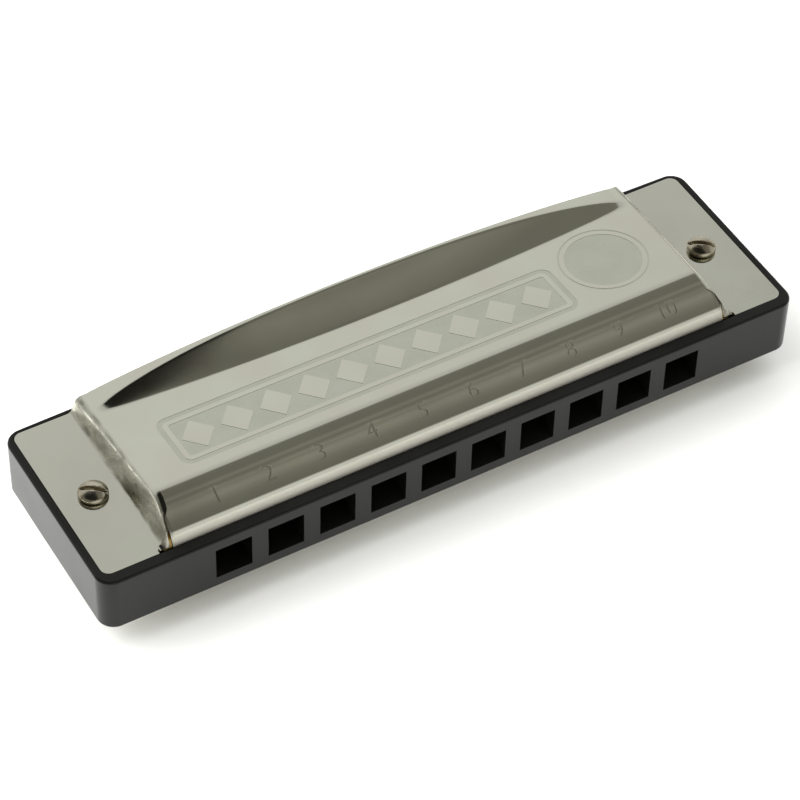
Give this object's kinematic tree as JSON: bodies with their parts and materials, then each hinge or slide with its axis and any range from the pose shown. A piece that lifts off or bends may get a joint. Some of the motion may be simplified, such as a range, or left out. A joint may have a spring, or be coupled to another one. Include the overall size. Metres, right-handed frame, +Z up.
{
  "type": "harmonica",
  "caption": "Diatonic mouth organ: black comb with square mouth holes, brass reed plates, and stainless covers with an arched open back.",
  "frame": {"origin": "on the table plane, under the middle of the comb", "axes": "+X along the holes from hole 1 to hole 10, -Y out of the mouth holes, +Z up out of the upper cover"},
  "size_m": [0.102, 0.0292, 0.0183],
  "materials": {
    "black_abs": "moulded black ABS, glossy",
    "stainless_steel": "polished pressed stainless sheet",
    "nickel_plate": "nickel-plated steel",
    "reed_plate_brass": "rolled brass sheet",
    "reed_bronze": "milled reed brass"
  },
  "bodies": {
    "root": {"comb": "black_abs", "upper_reed_plate": "reed_plate_brass", "lower_reed_plate": "reed_plate_brass", "upper_cover": "stainless_steel", "lower_cover": "stainless_steel", "cover_screw_left": "nickel_plate", "cover_screw_right": "nickel_plate", "cover_nut_left": "nickel_plate", "cover_nut_right": "nickel_plate", "upper_plate_screw_1": "nickel_plate", "upper_plate_screw_2": "nickel_plate", "upper_plate_screw_3": "nickel_plate", "upper_plate_screw_4": "nickel_plate", "upper_plate_screw_5": "nickel_plate", "lower_plate_screw_1": "nickel_plate", "lower_plate_screw_2": "nickel_plate", "lower_plate_screw_3": "nickel_plate", "lower_plate_screw_4": "nickel_plate", "lower_plate_screw_5": "nickel_plate", "blow_rivet_1": "reed_bronze", "blow_rivet_2": "reed_bronze", "blow_rivet_3": "reed_bronze", "blow_rivet_4": "reed_bronze", "blow_rivet_5": "reed_bronze", "blow_rivet_6": "reed_bronze", "blow_rivet_7": "reed_bronze", "blow_rivet_8": "reed_bronze", "blow_rivet_9": "reed_bronze", "blow_rivet_10": "reed_bronze", "draw_rivet_1": "reed_bronze", "draw_rivet_2": "reed_bronze", "draw_rivet_3": "reed_bronze", "draw_rivet_4": "reed_bronze", "draw_rivet_5": "reed_bronze", "draw_rivet_6": "reed_bronze", "draw_rivet_7": "reed_bronze", "draw_rivet_8": "reed_bronze", "draw_rivet_9": "reed_bronze", "draw_rivet_10": "reed_bronze"},
    "blow_tongue_1": {"blow_reed_1": "reed_bronze"},
    "blow_tongue_2": {"blow_reed_2": "reed_bronze"},
    "blow_tongue_3": {"blow_reed_3": "reed_bronze"},
    "blow_tongue_4": {"blow_reed_4": "reed_bronze"},
    "blow_tongue_5": {"blow_reed_5": "reed_bronze"},
    "blow_tongue_6": {"blow_reed_6": "reed_bronze"},
    "blow_tongue_7": {"blow_reed_7": "reed_bronze"},
    "blow_tongue_8": {"blow_reed_8": "reed_bronze"},
    "blow_tongue_9": {"blow_reed_9": "reed_bronze"},
    "blow_tongue_10": {"blow_reed_10": "reed_bronze"},
    "draw_tongue_1": {"draw_reed_1": "reed_bronze"},
    "draw_tongue_2": {"draw_reed_2": "reed_bronze"},
    "draw_tongue_3": {"draw_reed_3": "reed_bronze"},
    "draw_tongue_4": {"draw_reed_4": "reed_bronze"},
    "draw_tongue_5": {"draw_reed_5": "reed_bronze"},
    "draw_tongue_6": {"draw_reed_6": "reed_bronze"},
    "draw_tongue_7": {"draw_reed_7": "reed_bronze"},
    "draw_tongue_8": {"draw_reed_8": "reed_bronze"},
    "draw_tongue_9": {"draw_reed_9": "reed_bronze"},
    "draw_tongue_10": {"draw_reed_10": "reed_bronze"}
  },
  "joints": [
    {"name": "blow_swing_1", "type": "hinge", "parent": "root", "child": "blow_tongue_1", "pos_m": [-0.03308, -0.0072, 0.01173], "axis": [1, 0, 0], "range_deg": [-4, 4], "stiffness_Nm_per_rad": 0.01},
    {"name": "blow_swing_2", "type": "hinge", "parent": "root", "child": "blow_tongue_2", "pos_m": [-0.02573, -0.0072, 0.01173], "axis": [1, 0, 0], "range_deg": [-4, 4], "stiffness_Nm_per_rad": 0.01},
    {"name": "blow_swing_3", "type": "hinge", "parent": "root", "child": "blow_tongue_3", "pos_m": [-0.01837, -0.0072, 0.01173], "axis": [1, 0, 0], "range_deg": [-4, 4], "stiffness_Nm_per_rad": 0.01},
    {"name": "blow_swing_4", "type": "hinge", "parent": "root", "child": "blow_tongue_4", "pos_m": [-0.01103, -0.0072, 0.01173], "axis": [1, 0, 0], "range_deg": [-4, 4], "stiffness_Nm_per_rad": 0.01},
    {"name": "blow_swing_5", "type": "hinge", "parent": "root", "child": "blow_tongue_5", "pos_m": [-0.00367, -0.0072, 0.01173], "axis": [1, 0, 0], "range_deg": [-4, 4], "stiffness_Nm_per_rad": 0.01},
    {"name": "blow_swing_6", "type": "hinge", "parent": "root", "child": "blow_tongue_6", "pos_m": [0.00367, -0.0072, 0.01173], "axis": [1, 0, 0], "range_deg": [-4, 4], "stiffness_Nm_per_rad": 0.01},
    {"name": "blow_swing_7", "type": "hinge", "parent": "root", "child": "blow_tongue_7", "pos_m": [0.01103, -0.0072, 0.01173], "axis": [1, 0, 0], "range_deg": [-4, 4], "stiffness_Nm_per_rad": 0.01},
    {"name": "blow_swing_8", "type": "hinge", "parent": "root", "child": "blow_tongue_8", "pos_m": [0.01837, -0.0072, 0.01173], "axis": [1, 0, 0], "range_deg": [-4, 4], "stiffness_Nm_per_rad": 0.01},
    {"name": "blow_swing_9", "type": "hinge", "parent": "root", "child": "blow_tongue_9", "pos_m": [0.02573, -0.0072, 0.01173], "axis": [1, 0, 0], "range_deg": [-4, 4], "stiffness_Nm_per_rad": 0.01},
    {"name": "blow_swing_10", "type": "hinge", "parent": "root", "child": "blow_tongue_10", "pos_m": [0.03308, -0.0072, 0.01173], "axis": [1, 0, 0], "range_deg": [-4, 4], "stiffness_Nm_per_rad": 0.01},
    {"name": "draw_swing_1", "type": "hinge", "parent": "root", "child": "draw_tongue_1", "pos_m": [-0.03308, -0.0072, 0.00493], "axis": [1, 0, 0], "range_deg": [-4, 4], "stiffness_Nm_per_rad": 0.01},
    {"name": "draw_swing_2", "type": "hinge", "parent": "root", "child": "draw_tongue_2", "pos_m": [-0.02573, -0.0072, 0.00493], "axis": [1, 0, 0], "range_deg": [-4, 4], "stiffness_Nm_per_rad": 0.01},
    {"name": "draw_swing_3", "type": "hinge", "parent": "root", "child": "draw_tongue_3", "pos_m": [-0.01837, -0.0072, 0.00493], "axis": [1, 0, 0], "range_deg": [-4, 4], "stiffness_Nm_per_rad": 0.01},
    {"name": "draw_swing_4", "type": "hinge", "parent": "root", "child": "draw_tongue_4", "pos_m": [-0.01103, -0.0072, 0.00493], "axis": [1, 0, 0], "range_deg": [-4, 4], "stiffness_Nm_per_rad": 0.01},
    {"name": "draw_swing_5", "type": "hinge", "parent": "root", "child": "draw_tongue_5", "pos_m": [-0.00367, -0.0072, 0.00493], "axis": [1, 0, 0], "range_deg": [-4, 4], "stiffness_Nm_per_rad": 0.01},
    {"name": "draw_swing_6", "type": "hinge", "parent": "root", "child": "draw_tongue_6", "pos_m": [0.00367, -0.0072, 0.00493], "axis": [1, 0, 0], "range_deg": [-4, 4], "stiffness_Nm_per_rad": 0.01},
    {"name": "draw_swing_7", "type": "hinge", "parent": "root", "child": "draw_tongue_7", "pos_m": [0.01103, -0.0072, 0.00493], "axis": [1, 0, 0], "range_deg": [-4, 4], "stiffness_Nm_per_rad": 0.01},
    {"name": "draw_swing_8", "type": "hinge", "parent": "root", "child": "draw_tongue_8", "pos_m": [0.01837, -0.0072, 0.00493], "axis": [1, 0, 0], "range_deg": [-4, 4], "stiffness_Nm_per_rad": 0.01},
    {"name": "draw_swing_9", "type": "hinge", "parent": "root", "child": "draw_tongue_9", "pos_m": [0.02573, -0.0072, 0.00493], "axis": [1, 0, 0], "range_deg": [-4, 4], "stiffness_Nm_per_rad": 0.01},
    {"name": "draw_swing_10", "type": "hinge", "parent": "root", "child": "draw_tongue_10", "pos_m": [0.03308, -0.0072, 0.00493], "axis": [1, 0, 0], "range_deg": [-4, 4], "stiffness_Nm_per_rad": 0.01}
  ]
}
